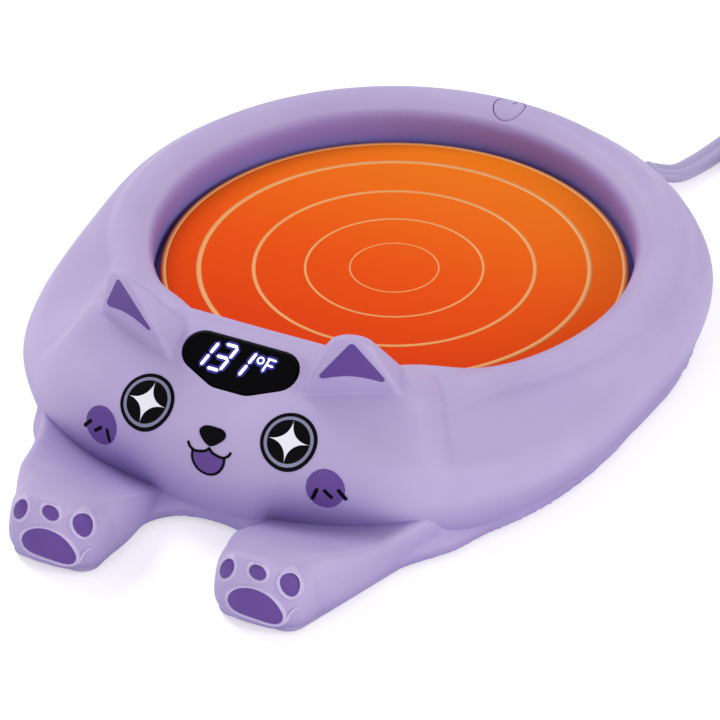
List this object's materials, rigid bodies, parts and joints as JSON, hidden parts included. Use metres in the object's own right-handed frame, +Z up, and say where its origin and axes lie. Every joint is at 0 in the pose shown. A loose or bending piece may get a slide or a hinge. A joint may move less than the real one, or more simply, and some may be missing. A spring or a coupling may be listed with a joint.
{
  "type": "electric mug warmer",
  "caption": "Electric mug warmer with a lying-cat body, a round hot plate in a raised ring, a readout on the forehead, a power key on the rear rim and a flat mains lead with a plug.",
  "frame": {"origin": "on the table, under the middle of the body's box without the lead", "axes": "+Z up, the cat's face and paws look along -Y, +X is to the right when the cat is seen from the front"},
  "size_m": [0.1953, 0.2656, 0.0489],
  "materials": {
    "body_lavender": "pale lavender moulded shell, satin gloss",
    "cover_lavender": "slightly darker lavender moulding, fine texture",
    "plate_orange": "smooth orange enamel with thin concentric rings",
    "lens_black": "polished near-black smoked acrylic",
    "black_plastic": "dark moulded plastic",
    "pcb_green": "solder-masked circuit board",
    "aluminium": "plain rolled sheet",
    "mica": "mica heating element",
    "insulation": "compressed ceramic fibre",
    "steel": "zinc-plated steel",
    "relay_blue": "moulded case",
    "winding_yellow": "taped winding",
    "glass_fuse": "clear glass tube",
    "wire_red": "insulated wire",
    "wire_white": "silicone-insulated wire",
    "wire_blue": "insulated wire",
    "ribbon_grey": "flat ribbon",
    "foot_rubber": "soft matt rubber",
    "cord_lavender": "lavender PVC with a groove between its two cores",
    "blade_metal": "nickel-plated brass",
    "print_purple": "pad-printed and inset purple decoration"
  },
  "bodies": {
    "casing": {"upper_shell": "body_lavender", "lower_shell": "body_lavender", "bottom_cover": "cover_lavender", "display_window": "lens_black", "led_display": "black_plastic", "display_board": "pcb_green", "plate_springs": "steel", "weight_switch": "black_plastic", "main_board": "pcb_green", "relay": "relay_blue", "transformer": "winding_yellow", "capacitor": "black_plastic", "mains_terminal": "black_plastic", "mains_fuse": "glass_fuse", "board_screws": "steel", "button_switch": "black_plastic", "button_board": "pcb_green", "cable_clamp": "black_plastic", "clamp_screws": "steel", "shell_screws": "steel", "leg_screws": "steel", "rubber_feet": "foot_rubber", "heater_leads": "wire_white", "button_leads": "wire_red", "mains_leads": "wire_blue", "display_ribbon": "ribbon_grey", "strain_relief": "cord_lavender", "cord_lead": "cord_lavender", "cord_coil": "cord_lavender", "cord_tail": "cord_lavender", "plug_body": "cord_lavender", "plug_blades": "blade_metal"},
    "plate": {"heating_plate": "plate_orange", "heat_spreader": "aluminium", "heater_element": "mica", "insulation_pad": "insulation", "plate_carrier": "black_plastic", "temperature_sensor": "steel", "thermal_fuse": "steel", "carrier_screws": "steel"},
    "plunger": {"switch_plunger": "wire_red"},
    "key": {"power_button": "body_lavender"}
  },
  "joints": [
    {"name": "plate_sink", "type": "slide", "parent": "casing", "child": "plate", "axis": [0, 0, -1], "range_m": [0, 0.0008], "stiffness_N_per_m": 2000, "springref_m": -0.0012, "deforming": ["plate_springs"]},
    {"name": "plunger_slide", "type": "slide", "parent": "casing", "child": "plunger", "axis": [0, 0, -1], "range_m": [0, 0.0008]},
    {"name": "key_press", "type": "slide", "parent": "casing", "child": "key", "axis": [0, 0, -1], "range_m": [0, 0.0005], "stiffness_N_per_m": 2000, "springref_m": -0.0005}
  ],
  "couplings": [
    {"joint": "plunger_slide", "follows": "plate_sink", "ratio": 1}
  ]
}
